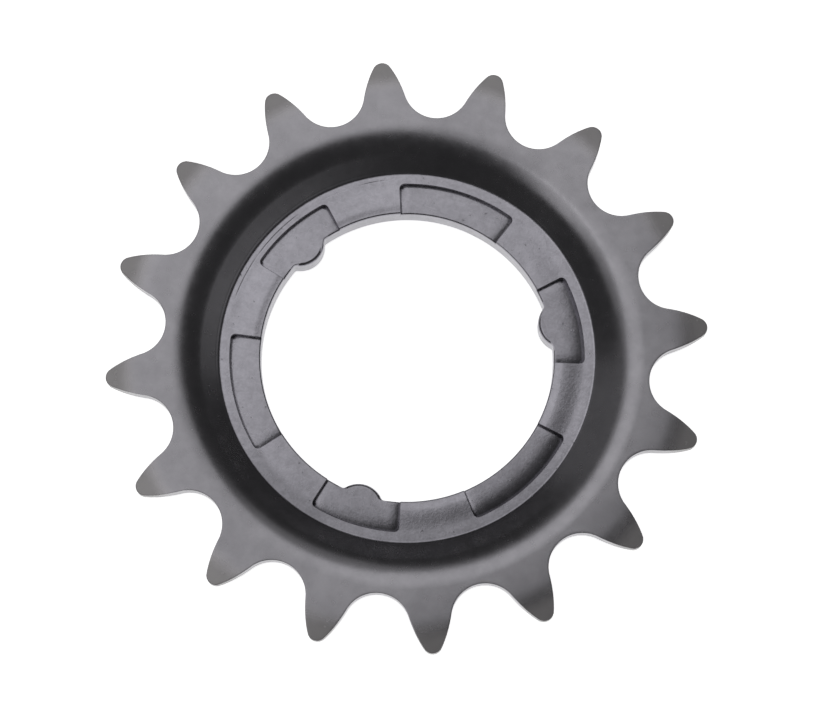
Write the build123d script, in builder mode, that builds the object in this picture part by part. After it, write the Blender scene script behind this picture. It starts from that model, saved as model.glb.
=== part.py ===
from build123d import *
import math
import os

# Sprocket of an internal gear hub: one piece of steel, pressed to a dish and coined.
# The toothed ring stands forward of a thicker inner ring, and a cone joins the two.
# Three round lugs in the bore key it to the driver of the hub.
# The bore is on Z, the back face of the inner ring lies on z = 0, and the dish opens to +Z.
# One lug lies on -Y, in line with a tooth.

# Chain and teeth
teeth = 16
chain_pitch = 12.7
roller_diameter = 7.75
seat_radius = 3.98
seat_angle = 132
flank_radius = 14.3
tip_round = 1.15
tooth_thickness = 2.3

# Relief on both faces of the teeth, which leads the chain on
relief_length = 3.0
relief_angle = 7.5
relief_blend = 14.0

# Inner ring, whose front meets the cone at the ring's diameter
bore_diameter = 34.8
ring_diameter = 44.9
ring_thickness = 3.6
bore_edge_break = 0.2

# Dish between the two rings, a cone with a bend at both ends
dish_offset = 2.7
cone_angle = 38
web_thickness = 2.3
front_bend_radius = 6.0
foot_round = 1.1
heel_radius = 2.0

# Lugs in the bore
lug_count = 3
lug_height = 1.35
lug_radius = 2.9
lug_blend = 0.4

# Pockets coined into the front of the inner ring, one over each lug and one between lugs
pocket_depth = 0.65
pocket_wall = 1.4
lug_pocket_angle = 30
plain_pocket_angle = 40
pocket_corner = 0.6

# Direction of the first lug and of the first tooth
first_angle = 270

# Worked out from the sizes above
bore_radius = bore_diameter / 2
ring_radius = ring_diameter / 2
pitch_radius = chain_pitch / 2 / math.sin(math.pi / teeth)
root_radius = pitch_radius - roller_diameter / 2
face_height = ring_thickness + dish_offset
tooth_back = face_height - tooth_thickness
pocket_floor = ring_thickness - pocket_depth
pocket_radius = ring_radius - pocket_wall
lug_centre = bore_radius - lug_height + lug_radius
near = 1e-3


def polar(radius, angle):
    """The point at a radius and at an angle in degrees."""
    return Vector(radius * math.cos(math.radians(angle)), radius * math.sin(math.radians(angle)))


# One tooth lies on X with a roller seat beside it, made of arcs that run into each other.
# The flank's centre lies on the line from the seat's centre through the end of the seat.
half_step = 180 / teeth
flank_end = half_step + seat_angle / 2
seat_point = polar(root_radius + seat_radius, half_step)
flank_point = seat_point - polar(seat_radius + flank_radius, flank_end)
tip_centre = flank_point.X + math.sqrt((flank_radius - tip_round) ** 2 - flank_point.Y**2)
tip_turn = math.degrees(math.atan2(-flank_point.Y, tip_centre - flank_point.X))
tip_radius = tip_centre + tip_round

with BuildLine() as tooth_line:
    CenterArc((tip_centre, 0), tip_round, -tip_turn, 2 * tip_turn)
    CenterArc(seat_point, seat_radius, 180 + half_step - seat_angle / 2, seat_angle)
    flank = CenterArc(flank_point, flank_radius, tip_turn, flank_end - tip_turn)
    seat_middle = Plane((0, 0, 0), x_dir=polar(1, half_step), z_dir=polar(1, half_step + 90))
    mirror(flank, about=seat_middle)

# Half section of the pressed and turned blank, before the teeth and the bore are cut.
# Each corner goes with the radius of its bend.
cone_slope = math.tan(math.radians(cone_angle))
web_shift = web_thickness / math.sin(math.radians(cone_angle))
front_corner = ring_radius + dish_offset / cone_slope
back_corner = ring_radius + web_shift + (tooth_back - ring_thickness) / cone_slope
heel_corner = ring_radius + web_shift - ring_thickness / cone_slope
back_bend_radius = front_bend_radius - web_thickness
relief_start = tip_radius - relief_length
blank_radius = tip_radius + tip_round
relief_depth = (blank_radius - relief_start) * math.tan(math.radians(relief_angle))

section_corners = [
    ((0, 0), 0),
    ((heel_corner, 0), heel_radius),
    ((back_corner, tooth_back), back_bend_radius),
    ((relief_start, tooth_back), relief_blend),
    ((blank_radius, tooth_back + relief_depth), 0),
    ((blank_radius, face_height - relief_depth), 0),
    ((relief_start, face_height), relief_blend),
    ((front_corner, face_height), front_bend_radius),
    ((ring_radius, ring_thickness), foot_round),
    ((0, ring_thickness), 0),
]

with BuildSketch(Plane.XZ) as section:
    with BuildLine():
        FilletPolyline(
            *[corner for corner, bend in section_corners],
            radius=[bend for corner, bend in section_corners],
            close=True,
        )
    make_face()

# Plan of the bore, a circle that the lugs reach into
with BuildSketch() as bore_plan:
    Circle(bore_radius)
    with PolarLocations(lug_centre, lug_count, start_angle=first_angle):
        Circle(lug_radius, mode=Mode.SUBTRACT)
    fillet(bore_plan.vertices(), lug_blend)


def pocket_plan(opening):
    """Plan of a pocket about X, from inside the bore to its round outer corners."""
    start = -opening / 2
    inner_radius = bore_radius - lug_radius
    with BuildSketch() as plan:
        with BuildLine():
            outer = CenterArc((0, 0), pocket_radius, start, opening)
            inner = CenterArc((0, 0), inner_radius, start, opening)
            Line(inner @ 0, outer @ 0)
            Line(inner @ 1, outer @ 1)
        make_face()
        fillet(plan.vertices().filter_by(lambda corner: corner.X > inner_radius), pocket_corner)
    return plan.sketch


def level_edges(height):
    """The sprocket's edges that lie at one height."""
    return sprocket.edges().filter_by_position(Axis.Z, height - near, height + near)


def at_the_bore(edge):
    """Whether an edge runs round the bore or a lug."""
    middle = edge @ 0.5
    return math.hypot(middle.X, middle.Y) < bore_radius + near


with BuildPart() as sprocket:
    add(section.sketch)
    revolve(axis=Axis.Z)

    with BuildSketch():
        with BuildLine():
            with PolarLocations(0, teeth, start_angle=first_angle):
                add(tooth_line.line)
        make_face()
    extrude(amount=face_height, mode=Mode.INTERSECT)

    add(bore_plan.sketch)
    extrude(amount=ring_thickness, mode=Mode.SUBTRACT)

    with BuildSketch(Plane.XY.offset(ring_thickness)):
        with PolarLocations(0, lug_count, start_angle=first_angle):
            add(pocket_plan(lug_pocket_angle))
        with PolarLocations(0, lug_count, start_angle=first_angle + 180 / lug_count):
            add(pocket_plan(plain_pocket_angle))
    extrude(amount=-pocket_depth, mode=Mode.SUBTRACT)

    # The bore and its lugs are deburred at both ends
    front_edges = level_edges(ring_thickness) + level_edges(pocket_floor)
    chamfer(front_edges.filter_by(at_the_bore), bore_edge_break)
    chamfer(level_edges(0).filter_by(at_the_bore), bore_edge_break)

sprocket.part.label = "sprocket"
os.makedirs("parts", exist_ok=True)
export_step(sprocket.part, "parts/sprocket.step")
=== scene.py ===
import math

import bmesh
import bpy
from mathutils import Matrix, Vector


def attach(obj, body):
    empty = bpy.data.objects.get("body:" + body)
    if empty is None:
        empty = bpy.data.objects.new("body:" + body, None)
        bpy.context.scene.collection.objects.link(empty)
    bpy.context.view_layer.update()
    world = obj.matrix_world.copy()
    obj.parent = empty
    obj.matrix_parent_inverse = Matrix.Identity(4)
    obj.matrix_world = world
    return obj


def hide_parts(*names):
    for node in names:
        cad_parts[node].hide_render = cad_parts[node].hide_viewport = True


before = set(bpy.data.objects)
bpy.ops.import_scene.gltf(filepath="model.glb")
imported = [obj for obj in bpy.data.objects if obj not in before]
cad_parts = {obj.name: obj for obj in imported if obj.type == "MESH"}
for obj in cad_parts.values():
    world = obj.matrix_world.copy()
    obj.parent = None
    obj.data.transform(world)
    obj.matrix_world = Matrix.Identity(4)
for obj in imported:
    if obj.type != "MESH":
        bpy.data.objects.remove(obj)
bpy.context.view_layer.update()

# The sprocket is one piece of steel, pressed to a dish and turned, so it starts as a spun blank.
# Its half section goes from the bore out over the back to the teeth, and home over the front.
# It is modelled in millimetres and brought to metres when its form is done.
NEAR = 0.01
TEETH = 16
STEPS = 47 * TEETH
BORE_RADIUS = 17.4
RING_RADIUS = 22.45
RING_THICKNESS = 3.6
FACE_HEIGHT = 6.3
TOOTH_BACK = 4.0
CONE_ANGLE = math.radians(38)
WEB = 2.3
FRONT_BEND = 6.0
FOOT_ROUND = 1.1
HEEL_ROUND = 2.0
BLANK_RADIUS = 36.7
CONE_SLOPE = math.tan(CONE_ANGLE)
BACK_FOOT = RING_RADIUS + WEB / math.sin(CONE_ANGLE)
FRONT_CORNER = RING_RADIUS + (FACE_HEIGHT - RING_THICKNESS) / CONE_SLOPE
BACK_CORNER = BACK_FOOT + (TOOTH_BACK - RING_THICKNESS) / CONE_SLOPE
HEEL_CORNER = BACK_FOOT - RING_THICKNESS / CONE_SLOPE


def bend(corner, before, after, radius, steps=16):
    """Points of the arc that rounds a corner of the section between its two neighbours."""
    corner, before, after = Vector(corner), Vector(before), Vector(after)
    into, out = (corner - before).normalized(), (after - corner).normalized()
    turn = into.angle_signed(out)
    start = corner - into * radius * math.tan(abs(turn) / 2)
    side = Vector((-into.y, into.x)) * (-1 if turn > 0 else 1)
    centre = start + side * radius
    return [
        centre + Matrix.Rotation(-turn * step / steps, 2) @ (start - centre)
        for step in range(steps + 1)
    ]


# Rings across the toothed face, closest where the teeth's relief bends
face_rings = [28.1, 28.8, 29.5, 30.2, 30.9, 31.3, 31.6, 31.9, 32.2, 32.5, 32.8, 33.1, 33.4, 33.7]
face_rings += [34.0, 34.4, 34.9, 35.4]
heel, back_corner = (HEEL_CORNER, 0), (BACK_CORNER, TOOTH_BACK)
front_corner, foot = (FRONT_CORNER, FACE_HEIGHT), (RING_RADIUS, RING_THICKNESS)
section = [(BORE_RADIUS, 0)]
section += bend(heel, (BORE_RADIUS, 0), back_corner, HEEL_ROUND)
section += bend(back_corner, heel, (BLANK_RADIUS, TOOTH_BACK), FRONT_BEND - WEB)
section += [(radius, TOOTH_BACK) for radius in [*face_rings, BLANK_RADIUS]]
section += [(radius, FACE_HEIGHT) for radius in [BLANK_RADIUS, *reversed(face_rings)]]
section += bend(front_corner, (BLANK_RADIUS, FACE_HEIGHT), foot, FRONT_BEND)
section += bend(foot, front_corner, (0, RING_THICKNESS), FOOT_ROUND)
section += [(BORE_RADIUS, RING_THICKNESS)]

bpy.ops.object.select_all(action="DESELECT")
bpy.ops.mesh.primitive_circle_add(vertices=len(section), fill_type="NOTHING")
sprocket = bpy.context.object
sprocket.name = "sprocket_pressing"
for vertex, (radius, height) in zip(sprocket.data.vertices, section):
    vertex.co = (radius, 0, height)
turned = sprocket.modifiers.new("turned", "SCREW")
turned.axis = "Z"
turned.angle = math.tau
turned.steps = turned.render_steps = STEPS
turned.use_merge_vertices = True
turned.merge_threshold = NEAR / 10
bpy.ops.object.modifier_apply(modifier=turned.name)

# Sixteen teeth are cut round the blank for a chain of 12.7 mm pitch and 7.75 mm rollers.
# Each is a roller seat, a long flank and a round tip, arcs that run into each other.
# The toothed ring is very slightly crowned, and both faces of a tooth turn back from there in a
# long bend, to 7.5 degrees at the tip.
CHAIN_PITCH = 12.7
ROLLER = 7.75
PITCH_RADIUS = CHAIN_PITCH / 2 / math.sin(math.pi / TEETH)
ROOT_RADIUS = PITCH_RADIUS - ROLLER / 2
SEAT_RADIUS = 3.98
SEAT_HALF = math.radians(66)
FLANK_RADIUS = 14.3
TIP_ROUND = 1.15
RELIEF_ANGLE = math.radians(7.5)
CROWN_ANGLE = math.radians(1.6)
CROWN_START = 28.2
RELIEF_BLEND = 25.0
RELIEF_LENGTH = 3.0
EDGE_BAND = 0.4
HALF_STEP = math.pi / TEETH
BEND_END = FRONT_CORNER + FRONT_BEND * math.tan(CONE_ANGLE / 2)


def polar(radius, angle):
    """The point at a radius and at an angle in radians."""
    return Vector((radius * math.cos(angle), radius * math.sin(angle)))


def reach(angle, centre, radius, side):
    """How far out a ray from the axis meets a circle, on its far side, 1, or near side, -1."""
    along = polar(1, angle).dot(centre)
    return along + side * math.sqrt(max(0, radius**2 - centre.length_squared + along**2))


def off_nearest(angle, first, count):
    """The angle to the nearest of so many directions spread evenly from the first, without its sign."""
    pitch = math.tau / count
    return abs((angle - first + pitch / 2) % pitch - pitch / 2)


seat = polar(ROOT_RADIUS + SEAT_RADIUS, HALF_STEP)
flank = seat - polar(SEAT_RADIUS + FLANK_RADIUS, HALF_STEP + SEAT_HALF)
tip = Vector((flank.x + math.sqrt((FLANK_RADIUS - TIP_ROUND) ** 2 - flank.y**2), 0))
tip_end = flank + (tip - flank).normalized() * FLANK_RADIUS
flank_end = seat - polar(SEAT_RADIUS, HALF_STEP + SEAT_HALF)
tip_angle = math.atan2(tip_end.y, tip_end.x)
flank_angle = math.atan2(flank_end.y, flank_end.x)
relief_turn = RELIEF_ANGLE - CROWN_ANGLE
relief_start = tip.x + TIP_ROUND - RELIEF_LENGTH - RELIEF_BLEND * math.tan(relief_turn / 2)
crown_run = relief_start - CROWN_START


def tooth_reach(angle):
    """How far the teeth reach out at an angle round the axis."""
    off = off_nearest(angle, 0, TEETH)
    if off < tip_angle:
        return reach(off, tip, TIP_ROUND, 1)
    if off < flank_angle:
        return reach(off, flank, FLANK_RADIUS, 1)
    return reach(off, seat, SEAT_RADIUS, -1)


def relief(radius):
    """How far a tooth's face has turned back at a radius: the crown first, a blend, the relief."""
    out = max(0, radius - CROWN_START)
    crown = math.tan(CROWN_ANGLE) * (min(out, crown_run) ** 2 / 2 / crown_run + max(0, out - crown_run))
    run = max(0, radius - relief_start)
    blend_run = RELIEF_BLEND * math.sin(relief_turn)
    if run < blend_run:
        return crown + RELIEF_BLEND - math.sqrt(RELIEF_BLEND**2 - run**2)
    return crown + RELIEF_BLEND * (1 - math.cos(relief_turn)) + (run - blend_run) * math.tan(relief_turn)


for vertex in sprocket.data.vertices:
    radius, angle = math.hypot(vertex.co.x, vertex.co.y), math.atan2(vertex.co.y, vertex.co.x)
    if radius > BEND_END + NEAR:
        rim = tooth_reach(angle)
        radius = rim if radius > BLANK_RADIUS - NEAR else min(radius, rim - EDGE_BAND)
        vertex.co.xy = polar(radius, angle)
        on_front = vertex.co.z > (TOOTH_BACK + FACE_HEIGHT) / 2
        vertex.co.z += -relief(radius) if on_front else relief(radius)

# The bore is pierced with three round lugs left in it, which key the sprocket to the driver.
# One lug lies on -Y, in line with a tooth.
LUGS = 3
LUG_TIP = 16.05
LUG_RADIUS = 2.9
LUG_BLEND = 0.4
FIRST_LUG = -math.pi / 2

lug = Vector((LUG_TIP + LUG_RADIUS, 0))
blend_radius = BORE_RADIUS - LUG_BLEND
blend_angle = math.acos(
    (blend_radius**2 + lug.x**2 - (LUG_RADIUS + LUG_BLEND) ** 2) / (2 * blend_radius * lug.x)
)
blend = polar(blend_radius, blend_angle)
lug_end = lug + (blend - lug).normalized() * LUG_RADIUS
lug_angle = math.atan2(lug_end.y, lug_end.x)


def bore_reach(angle):
    """How far from the axis the bore's wall stands at an angle, its lugs among it."""
    off = off_nearest(angle, FIRST_LUG, LUGS)
    if off < lug_angle:
        return reach(off, lug, LUG_RADIUS, -1)
    if off < blend_angle:
        return reach(off, blend, LUG_BLEND, 1)
    return BORE_RADIUS


for vertex in sprocket.data.vertices:
    radius, angle = math.hypot(vertex.co.x, vertex.co.y), math.atan2(vertex.co.y, vertex.co.x)
    if radius < BORE_RADIUS + NEAR:
        vertex.co.xy = polar(bore_reach(angle), angle)

# Where rings of the blank met at a tooth's edge they become one, and the ring's flat front keeps
# only one line across every other land, so that the pockets cut clean edges into it.
FLAT_END = RING_RADIUS - FOOT_ROUND * math.tan(CONE_ANGLE / 2)
LAND_MIDDLE = FIRST_LUG + math.radians(27.5)
KEPT_BAND = math.radians(0.3)

bpy.ops.object.mode_set(mode="EDIT")
bpy.ops.mesh.select_all(action="SELECT")
bpy.ops.mesh.remove_doubles(threshold=NEAR / 10)
bpy.ops.mesh.normals_make_consistent(inside=False)
bpy.ops.mesh.select_all(action="DESELECT")
bpy.ops.mesh.select_mode(type="EDGE")
shape = bmesh.from_edit_mesh(sprocket.data)
for edge in shape.edges:
    inner, outer = (v.co for v in sorted(edge.verts, key=lambda v: v.co.xy.length))
    on_front = min(inner.z, outer.z) > RING_THICKNESS - NEAR
    across = inner.xy.length < BORE_RADIUS + NEAR and abs(outer.xy.length - FLAT_END) < NEAR
    line_angle = math.atan2(outer.y, outer.x)
    if on_front and across and off_nearest(line_angle, LAND_MIDDLE, LUGS) > KEPT_BAND:
        edge.select = True
bmesh.update_edit_mesh(sprocket.data)
bpy.ops.mesh.dissolve_edges(use_verts=False)
bpy.ops.object.mode_set(mode="OBJECT")

# Six pockets are coined into the front of the inner ring, open to the bore. Three lie over the
# lugs and three, which are wider, lie between them. Their floors sink towards the outer wall, most
# on the side where the die pressed hardest, and a little along the side walls.
POCKET_FLOOR = 3.18
POCKET_RADIUS = 21.05
POCKET_CORNER = 0.6
CUTTER_INNER = 14.0
LUG_POCKET_HALF = math.radians(15)
PLAIN_POCKET_HALF = math.radians(20)
END_RUN = 3.2
END_SLOPE = math.tan(math.radians(13))
SIDE_RUN = 1.5
SIDE_SLOPE = math.tan(math.radians(14))
HARD_SIDE = math.radians(315)
UNEVEN = 0.32
CUTTER_HEIGHT = 2
MIDDLE_COLUMNS = 12

end_gaps = [END_RUN, 2.5, 2.1, 1.7, 1.4, 1.1, 0.85, 0.6, 0.4, 0.2, 0]
side_gaps = [0, 0.2, 0.4, 0.6, 0.9, 1.2]
rows = [CUTTER_INNER] + [POCKET_RADIUS - gap for gap in end_gaps]
columns = [(-1, gap) for gap in side_gaps]
columns += [(2 * step / MIDDLE_COLUMNS - 1, SIDE_RUN) for step in range(MIDDLE_COLUMNS + 1)]
columns += [(1, gap) for gap in reversed(side_gaps)]


def pocket_point(half, pressed, radius, side, side_gap):
    """A point of a pocket's floor about X, by how hard it was pressed, its radius and its side gap."""
    end_gap = POCKET_RADIUS - radius
    sunk = pressed * END_SLOPE * END_RUN / 3 * max(0, 1 - end_gap / END_RUN) ** 3
    sunk += SIDE_SLOPE * SIDE_RUN / 3 * (1 - side_gap / SIDE_RUN) ** 3
    if max(end_gap, side_gap) < POCKET_CORNER:
        corner = Vector((POCKET_CORNER - end_gap, POCKET_CORNER - side_gap))
        corner *= max(corner) / max(corner.length, NEAR)
        radius, side_gap = POCKET_RADIUS - POCKET_CORNER + corner.x, POCKET_CORNER - corner.y
    floor = polar(radius, side * (half - side_gap / radius))
    return Vector((floor.x, floor.y, POCKET_FLOOR - sunk))


cutters = []
for number in range(2 * LUGS):
    half = PLAIN_POCKET_HALF if number % 2 else LUG_POCKET_HALF
    direction = FIRST_LUG + number * math.pi / LUGS
    middle = Matrix.Rotation(direction, 3, "Z")
    pressed = 1 + UNEVEN * math.cos(direction - HARD_SIDE)
    bpy.ops.object.select_all(action="DESELECT")
    bpy.ops.mesh.primitive_grid_add(x_subdivisions=len(columns) - 1, y_subdivisions=len(rows) - 1, size=2)
    cutter = bpy.context.object
    bpy.ops.object.mode_set(mode="EDIT")
    bpy.ops.mesh.select_mode(type="EDGE")
    bpy.ops.mesh.select_all(action="DESELECT")
    bpy.ops.object.mode_set(mode="OBJECT")
    innermost = []
    for vertex in cutter.data.vertices:
        side, side_gap = columns[round((vertex.co.x + 1) / 2 * (len(columns) - 1))]
        radius = rows[round((vertex.co.y + 1) / 2 * (len(rows) - 1))]
        vertex.co = middle @ pocket_point(half, pressed, radius, side, side_gap)
        innermost.append(radius == CUTTER_INNER)
    # The flat middle of the floor, where the lug's edge runs, stays in one piece
    for edge in cutter.data.edges:
        one_end, other_end = edge.vertices
        across = innermost[one_end] != innermost[other_end]
        from_middle = middle.inverted() @ cutter.data.vertices[one_end].co
        off_middle = abs(math.atan2(from_middle.y, from_middle.x))
        edge.select = across and off_middle < half - SIDE_RUN / CUTTER_INNER
    bpy.ops.object.mode_set(mode="EDIT")
    bpy.ops.mesh.dissolve_edges(use_verts=False)
    bpy.ops.mesh.select_all(action="SELECT")
    bpy.ops.mesh.extrude_region_move(TRANSFORM_OT_translate={"value": (0, 0, CUTTER_HEIGHT)})
    bpy.ops.mesh.select_all(action="SELECT")
    bpy.ops.mesh.normals_make_consistent(inside=False)
    bpy.ops.object.mode_set(mode="OBJECT")
    cutters.append(cutter)
for cutter in cutters:
    cutter.select_set(True)
bpy.ops.object.join()
punch = bpy.context.object
cut = sprocket.modifiers.new("pockets", "BOOLEAN")
cut.operation = "DIFFERENCE"
cut.solver = "EXACT"
cut.object = punch
bpy.context.view_layer.objects.active = sprocket
bpy.ops.object.modifier_apply(modifier=cut.name)
bpy.data.objects.remove(punch)

# Tumbling takes the sharpness off the edges: most at the lugs and the bore, least at the pockets.
# The pockets' floors run into their walls with a small round, as coining leaves them.
TOOTH_BREAK = 0.08
BORE_BREAK = 0.2
LUG_BREAK = 0.42
RIM_BREAK = 0.04
FLOOR_ROUND = 0.03
LUG_REACH = 0.1
SHARP_ANGLE = math.radians(40)
SMOOTH_ANGLE = math.radians(32)
MM = 0.001


def edge_break(edge):
    """How much is taken off a sharp edge of the sprocket, by its place, in millimetres."""
    a, b = (v.co for v in edge.verts)
    inner, outer = sorted((a.xy.length, b.xy.length))
    level = abs(a.z - b.z) < (a.xy - b.xy).length / 2
    height = (a.z + b.z) / 2
    in_front = height > RING_THICKNESS / 2
    if inner > ROOT_RADIUS - NEAR:
        return TOOTH_BREAK
    if level and outer < BORE_RADIUS + NEAR:
        return LUG_BREAK if in_front and outer < BORE_RADIUS - LUG_REACH else BORE_BREAK
    if outer < BORE_RADIUS + NEAR:
        return RIM_BREAK if height > POCKET_FLOOR else 0
    if level and abs(height - RING_THICKNESS) < NEAR:
        return RIM_BREAK
    if level and in_front and height < POCKET_FLOOR + NEAR and outer < POCKET_RADIUS + NEAR:
        return FLOOR_ROUND
    return 0


shape = bmesh.new()
shape.from_mesh(sprocket.data)
weights = shape.edges.layers.float.new("bevel_weight_edge")
for edge in shape.edges:
    if len(edge.link_faces) == 2 and edge.calc_face_angle() > SHARP_ANGLE:
        edge[weights] = edge_break(edge)
shape.to_mesh(sprocket.data)
shape.free()

bpy.ops.object.select_all(action="DESELECT")
sprocket.select_set(True)
bpy.context.view_layer.objects.active = sprocket
rounding = sprocket.modifiers.new("rounding", "BEVEL")
rounding.limit_method = "WEIGHT"
rounding.width = 1
rounding.segments = 3
rounding.use_clamp_overlap = False
bpy.ops.object.modifier_apply(modifier=rounding.name)

bpy.ops.object.mode_set(mode="EDIT")
bpy.ops.mesh.select_all(action="SELECT")
bpy.ops.mesh.normals_make_consistent(inside=False)
bpy.ops.object.mode_set(mode="OBJECT")
bpy.ops.object.shade_smooth_by_angle(angle=SMOOTH_ANGLE)
evening = sprocket.modifiers.new("evening", "WEIGHTED_NORMAL")
evening.keep_sharp = True
bpy.ops.object.modifier_apply(modifier=evening.name)
facing = sprocket.modifiers.new("facing", "TRIANGULATE")
facing.min_vertices = 5
facing.ngon_method = "BEAUTY"
facing.keep_custom_normals = True
bpy.ops.object.modifier_apply(modifier=facing.name)
bpy.ops.object.mode_set(mode="EDIT")
bpy.ops.mesh.select_all(action="SELECT")
bpy.ops.transform.resize(value=(MM, MM, MM), center_override=(0, 0, 0))
bpy.ops.object.mode_set(mode="OBJECT")
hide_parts("sprocket")
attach(sprocket, "root")


# Blackened steel: pressed steel under a thin black oxide, tumbled to a satin sheen and oiled.
# Coining leaves the inner ring mottled, pitted and scratched, and the teeth's relief duller.
def linear(colour):
    """Linear red, green, blue and alpha of an sRGB hex colour."""
    parts = [int(colour[i:i + 2], 16) / 255 for i in (1, 3, 5)]
    return [p / 12.92 if p <= 0.04045 else ((p + 0.055) / 1.055) ** 2.4 for p in parts] + [1]


steel = bpy.data.materials.new("blackened_steel")
steel.use_nodes = True
tree = steel.node_tree
tree.nodes.clear()


def add_node(kind, inputs=None, **settings):
    """Adds a node with its settings. An input given as a socket is linked."""
    node = tree.nodes.new(kind)
    for name, value in settings.items():
        setattr(node, name, value)
    for name, value in (inputs or {}).items():
        if isinstance(value, bpy.types.NodeSocket):
            tree.links.new(value, node.inputs[name])
        else:
            node.inputs[name].default_value = value
    return node


# Places on the sprocket: its relief, its inner ring and the lands between the pockets
RELIEF_ZONE = 31.4, 34.8
RING_EDGE = 22.2, 22.7
LAND_LEVEL = 3.4
SOFT = {"interpolation_type": "SMOOTHSTEP"}

place = add_node("ShaderNodeTexCoord").outputs["Object"]
along = add_node("ShaderNodeSeparateXYZ", {0: place}).outputs
flat_place = add_node("ShaderNodeCombineXYZ", {"X": along["X"], "Y": along["Y"]}).outputs[0]
from_axis = add_node("ShaderNodeVectorMath", {0: flat_place}, operation="LENGTH").outputs["Value"]
bearing = add_node("ShaderNodeVectorMath", {0: flat_place}, operation="NORMALIZE").outputs["Vector"]
radius_mm = add_node("ShaderNodeMath", {0: from_axis, 1: MM}, operation="DIVIDE").outputs[0]
height_mm = add_node("ShaderNodeMath", {0: along["Z"], 1: MM}, operation="DIVIDE").outputs[0]
on_relief = add_node("ShaderNodeMapRange", {
    "Value": radius_mm, "From Min": RELIEF_ZONE[0], "From Max": RELIEF_ZONE[1],
}, **SOFT).outputs[0]
on_ring = add_node("ShaderNodeMapRange", {
    "Value": radius_mm, "From Min": RING_EDGE[0], "From Max": RING_EDGE[1], "To Min": 1, "To Max": 0,
}, **SOFT).outputs[0]
above_floors = add_node("ShaderNodeMapRange", {
    "Value": height_mm, "From Min": POCKET_FLOOR, "From Max": LAND_LEVEL,
}, **SOFT).outputs[0]
on_lands = add_node("ShaderNodeMath", {0: on_ring, 1: above_floors}, operation="MULTIPLY").outputs[0]

# Tone: cloudy over the toothed ring and mottled on the coined one. Each pattern has the size of
# its blotches in millimetres, their detail and warp, how strong it is on either ring, and
# whether the form of the skin has it as well.
SCALED_SUM = {"operation": "MULTIPLY_ADD"}
FACE_TONE = 0.53
RING_TONE = 0.59

tone = add_node("ShaderNodeMapRange", {
    "Value": on_ring, "To Min": FACE_TONE, "To Max": RING_TONE,
}).outputs[0]
skin = 0
for size, detail, warp, strong_on_face, strong_on_ring, in_form in (
    (9, 2, 0, 0.045, 0.045, 0),
    (2.2, 3, 0, 0.03, 0.03, 0),
    (0.8, 4, 0.8, 0.015, 0.06, 1),
    (0.28, 2, 0, 0.0075, 0.03, 1),
):
    noise = add_node("ShaderNodeTexNoise", {
        "Vector": place, "Scale": 1 / size / MM, "Detail": detail, "Distortion": warp,
    }).outputs["Fac"]
    blotch = add_node("ShaderNodeMapRange", {
        "Value": noise, "From Min": 0.3, "From Max": 0.7, "To Min": -1,
    }, **SOFT).outputs[0]
    strength = add_node("ShaderNodeMapRange", {
        "Value": on_ring, "To Min": strong_on_face, "To Max": strong_on_ring,
    }).outputs[0]
    tone = add_node("ShaderNodeMath", {0: blotch, 1: strength, 2: tone}, **SCALED_SUM).outputs[0]
    skin = add_node("ShaderNodeMath", {0: blotch, 1: in_form, 2: skin}, **SCALED_SUM).outputs[0]

# Scratches in two directions on the inner ring, a few millimetres long and lighter than the skin
SCRATCH_WIDTH = 0.1
SCRATCH_LIGHT = 0.1

for length, turn, threshold in ((3, 0.9, 0.66), (4, -0.5, 0.68)):
    drawn_out = add_node("ShaderNodeMapping", {
        "Vector": place, "Rotation": (0, 0, turn), "Scale": (SCRATCH_WIDTH / length, 1, 1),
    }).outputs[0]
    noise = add_node("ShaderNodeTexNoise", {
        "Vector": drawn_out, "Scale": 1 / SCRATCH_WIDTH / MM, "Detail": 1,
    }).outputs["Fac"]
    scratch = add_node("ShaderNodeMapRange", {
        "Value": noise, "From Min": threshold, "From Max": threshold + 0.08, "To Max": SCRATCH_LIGHT,
    }, **SOFT).outputs[0]
    tone = add_node("ShaderNodeMath", {0: scratch, 1: on_ring, 2: tone}, **SCALED_SUM).outputs[0]

# Pits in the inner ring, and its lands: rubbed lighter than the pockets' floors. The inner ring is also
# darker on one side, most towards its rim
PIT_SPACING = 0.6
PIT_DEPTH = 0.01
PIT_DARK = 0.25
LAND_LIGHT = 0.08
DARK_SIDE = math.radians(285)

noise = add_node("ShaderNodeTexNoise", {
    "Vector": place, "Scale": 1 / PIT_SPACING / MM, "Detail": 2,
}).outputs["Fac"]
pits = add_node("ShaderNodeMapRange", {
    "Value": noise, "From Min": 0.7, "From Max": 0.76,
}, **SOFT).outputs[0]
pits = add_node("ShaderNodeMath", {0: pits, 1: on_ring}, operation="MULTIPLY").outputs[0]
tone = add_node("ShaderNodeMath", {0: pits, 1: -PIT_DARK, 2: tone}, **SCALED_SUM).outputs[0]
tone = add_node("ShaderNodeMath", {0: on_lands, 1: LAND_LIGHT, 2: tone}, **SCALED_SUM).outputs[0]
toward_dark = add_node("ShaderNodeVectorMath", {
    0: bearing, 1: polar(1, DARK_SIDE).to_3d(),
}, operation="DOT_PRODUCT").outputs["Value"]
on_dark_side = add_node("ShaderNodeMapRange", {
    "Value": toward_dark, "From Min": 0.34, "From Max": 0.71,
}, **SOFT).outputs[0]
rim = add_node("ShaderNodeMapRange", {
    "Value": radius_mm, "From Min": 20, "From Max": 21.2, "To Min": -0.1, "To Max": -0.3,
}, **SOFT).outputs[0]
rim = add_node("ShaderNodeMath", {0: rim, 1: on_ring}, operation="MULTIPLY").outputs[0]
tone = add_node("ShaderNodeMath", {0: rim, 1: on_dark_side, 2: tone}, **SCALED_SUM).outputs[0]

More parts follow.
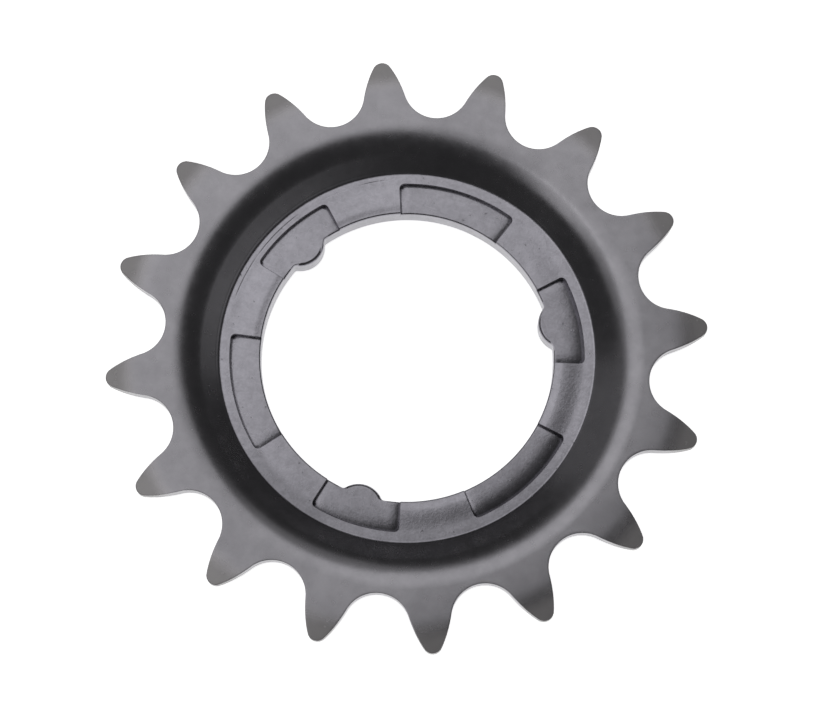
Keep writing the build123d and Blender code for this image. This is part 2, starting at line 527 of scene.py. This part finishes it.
# Colour: from the oxide to the metal that shows through it, a little bluer on the inner ring
bare = add_node("ShaderNodeMix", {
    "Factor": on_ring, "A": linear("#acaaaf"), "B": linear("#aba9b1"),
}, data_type="RGBA").outputs["Result"]
shade = add_node("ShaderNodeMix", {
    "Factor": tone, "A": linear("#5f5e62"), "B": bare,
}, data_type="RGBA").outputs["Result"]
shade = add_node("ShaderNodeMix", {
    "Factor": on_relief, "A": shade, "B": linear("#a7a4a5"),
}, data_type="RGBA").outputs["Result"]

# Form too fine for the mesh: the lands' low wave, a turned line near one side of the ring's edge,
# the pits and the grain of the coined skin. Heights are in millimetres. Each part of the wave has
# the two distances from the axis between which it runs, and its height at either.
LINE_RADIUS = 21.6
LINE_HALF = 0.13
LINE_DEPTH = 0.016
LINE_SIDE = math.radians(150)
LINE_PIECE = 5
FACE_GRAIN = 0.0002
RING_GRAIN = 0.0012

wave = 0
for start, end, start_height, end_height in (
    (17.5, 18.5, -0.06, 0),
    (18.4, 21.0, 0, -0.13),
    (20.7, 22.1, 0, 0.03),
):
    slope = add_node("ShaderNodeMapRange", {
        "Value": radius_mm, "From Min": start, "From Max": end,
        "To Min": start_height, "To Max": end_height,
    }, **SOFT).outputs[0]
    wave = add_node("ShaderNodeMath", {0: wave, 1: slope}, operation="ADD").outputs[0]
toward_line = add_node("ShaderNodeVectorMath", {
    0: bearing, 1: polar(1, LINE_SIDE).to_3d(),
}, operation="DOT_PRODUCT").outputs["Value"]
on_line_side = add_node("ShaderNodeMapRange", {
    "Value": toward_line, "From Min": 0.78, "From Max": 0.86,
}, **SOFT).outputs[0]
off_line = add_node("ShaderNodeMath", {0: radius_mm, 1: LINE_RADIUS}, operation="SUBTRACT").outputs[0]
off_line = add_node("ShaderNodeMath", {0: off_line}, operation="ABSOLUTE").outputs[0]
line = add_node("ShaderNodeMapRange", {
    "Value": off_line, "From Max": LINE_HALF, "To Min": -LINE_DEPTH, "To Max": 0,
}, **SOFT).outputs[0]
noise = add_node("ShaderNodeTexNoise", {
    "Vector": place, "Scale": 1 / LINE_PIECE / MM, "Detail": 1,
}).outputs["Fac"]
unbroken = add_node("ShaderNodeMapRange", {
    "Value": noise, "From Min": 0.4, "From Max": 0.55,
}, **SOFT).outputs[0]
line = add_node("ShaderNodeMath", {0: line, 1: on_line_side}, operation="MULTIPLY").outputs[0]
wave = add_node("ShaderNodeMath", {0: line, 1: unbroken, 2: wave}, **SCALED_SUM).outputs[0]
grain = add_node("ShaderNodeMapRange", {
    "Value": on_ring, "To Min": FACE_GRAIN, "To Max": RING_GRAIN,
}).outputs[0]
form = add_node("ShaderNodeMath", {0: wave, 1: on_lands}, operation="MULTIPLY").outputs[0]
form = add_node("ShaderNodeMath", {0: skin, 1: grain, 2: form}, **SCALED_SUM).outputs[0]
form = add_node("ShaderNodeMath", {0: pits, 1: -PIT_DEPTH, 2: form}, **SCALED_SUM).outputs[0]
form = add_node("ShaderNodeMath", {0: form, 1: MM}, operation="MULTIPLY").outputs[0]
bumps = add_node("ShaderNodeBump", {"Height": form, "Distance": 1}).outputs[0]

# Sheen: a satin that changes slightly from spot to spot, and more of the oxide on the relief
SHEEN_SPOT = 1.2

noise = add_node("ShaderNodeTexNoise", {
    "Vector": place, "Scale": 1 / SHEEN_SPOT / MM, "Detail": 4,
}).outputs["Fac"]
sheen = add_node("ShaderNodeMapRange", {
    "Value": noise, "From Min": 0.3, "From Max": 0.7, "To Min": 0.235, "To Max": 0.275,
}, **SOFT).outputs[0]
metal = add_node("ShaderNodeMapRange", {
    "Value": on_relief, "To Min": 1, "To Max": 0.22,
}, **SOFT).outputs[0]
steel_skin = add_node("ShaderNodeBsdfPrincipled", {
    "Base Color": shade, "Roughness": sheen, "Metallic": metal, "Normal": bumps,
}).outputs["BSDF"]
add_node("ShaderNodeOutputMaterial", {"Surface": steel_skin})
sprocket.data.materials.clear()
sprocket.data.materials.append(steel)

# A white table for the sprocket to lie on. The camera and the metal see it as nearly white,
# and it keeps the sprocket's soft shadow.
TABLE_SIZE = 40
TABLE_GLOW = 0.9

bpy.ops.object.select_all(action="DESELECT")
bpy.ops.mesh.primitive_plane_add(size=TABLE_SIZE, location=(0, 0, 0))
table = bpy.context.object
table.name = "table"
white = bpy.data.materials.new("white_table")
white.use_nodes = True
tree = white.node_tree
tree.nodes.clear()
rays = add_node("ShaderNodeLightPath").outputs
seen = add_node("ShaderNodeMath", {
    0: rays["Is Camera Ray"], 1: rays["Is Glossy Ray"],
}, operation="MAXIMUM").outputs[0]
seen = add_node("ShaderNodeMath", {
    0: seen, 1: rays["Is Transmission Ray"],
}, operation="MAXIMUM").outputs[0]
seen = add_node("ShaderNodeMath", {0: seen, 1: TABLE_GLOW}, operation="MULTIPLY").outputs[0]
glow = add_node("ShaderNodeEmission", {"Color": linear("#ffffff"), "Strength": seen}).outputs[0]
paper = add_node("ShaderNodeBsdfDiffuse", {"Color": linear("#f4f4f4")}).outputs[0]
both = add_node("ShaderNodeAddShader", {0: glow, 1: paper}).outputs[0]
add_node("ShaderNodeOutputMaterial", {"Surface": both})
table.data.materials.append(white)

# Soft boxes: a large one overhead to the left, brighter in its middle, and a smaller one at the
# front left. Two dim walls stand at the left and at the right, and the room is dark.
LAMP_DISTANCE = 0.9
PICTURE_TURN = math.radians(17.523)
ROOM_GLOW = 0.06


def soft_box(name, bearing, slant, roll, width, height, radiance):
    """A lamp by its bearing in the picture and its slant from straight above, in degrees."""
    level = polar(math.sin(math.radians(slant)), math.radians(bearing))
    out = Vector((level.x, level.y, math.cos(math.radians(slant))))
    side = Vector((0, 1, 0)).cross(out).normalized()
    facing = Matrix((side, out.cross(side), out)).transposed().to_4x4()
    lamp = bpy.data.lights.new(name, "AREA")
    lamp.shape = "RECTANGLE"
    lamp.size, lamp.size_y = width, height
    lamp.energy = radiance * math.pi * width * height
    box = bpy.data.objects.new(name, lamp)
    bpy.context.scene.collection.objects.link(box)
    turn, rolled = (Matrix.Rotation(angle, 4, "Z") for angle in (PICTURE_TURN, math.radians(roll)))
    box.matrix_world = turn @ Matrix.Translation(out * LAMP_DISTANCE) @ facing @ rolled


soft_box("overhead_middle", 115.1, 16.9, -42.2, 0.581, 0.855, 0.76)
soft_box("overhead_box", 123.9, 25.0, -40.2, 0.597, 1.757, 0.284)
soft_box("front_left_box", 209.3, 32.3, 35.4, 0.543, 0.241, 0.754)
soft_box("left_wall", 148.8, 78.7, -8.2, 1.091, 0.553, 0.149)
soft_box("right_wall", -30.1, 87.9, 84.8, 1.995, 0.824, 0.30)
world = bpy.context.scene.world or bpy.data.worlds.new("room")
bpy.context.scene.world = world
world.use_nodes = True
room = world.node_tree.nodes["Background"].inputs
room["Color"].default_value = linear("#ffffff")
room["Strength"].default_value = ROOM_GLOW

# The camera looks down at the sprocket from 343 mm, a little in front of its axis,
# with a lens of 128.5 mm on a sensor 36 mm wide.
LENS = 128.506
SENSOR = 36
CAMERA_DISTANCE = 342.7
TILT = math.radians(11.10)
TILT_SIDE = math.radians(90.82)
SHIFT = Vector((-0.125, 0.988))

tilt_axis = Vector((-math.sin(TILT_SIDE), math.cos(TILT_SIDE), 0))
seen_from = Matrix.Rotation(TILT, 3, tilt_axis) @ Matrix.Rotation(-PICTURE_TURN, 3, "Z")
back = Vector((-SHIFT.x, -SHIFT.y, CAMERA_DISTANCE))
camera_data = bpy.data.cameras.new("camera")
camera_data.sensor_width = SENSOR
camera_data.lens = LENS
camera = bpy.data.objects.new("camera", camera_data)
bpy.context.scene.collection.objects.link(camera)
spot = Vector((0, 0, FACE_HEIGHT)) + seen_from.transposed() @ back
camera.matrix_world = Matrix.Translation(spot * MM) @ seen_from.transposed().to_4x4()
bpy.context.scene.camera = camera
bpy.context.scene.view_settings.view_transform = "Standard"
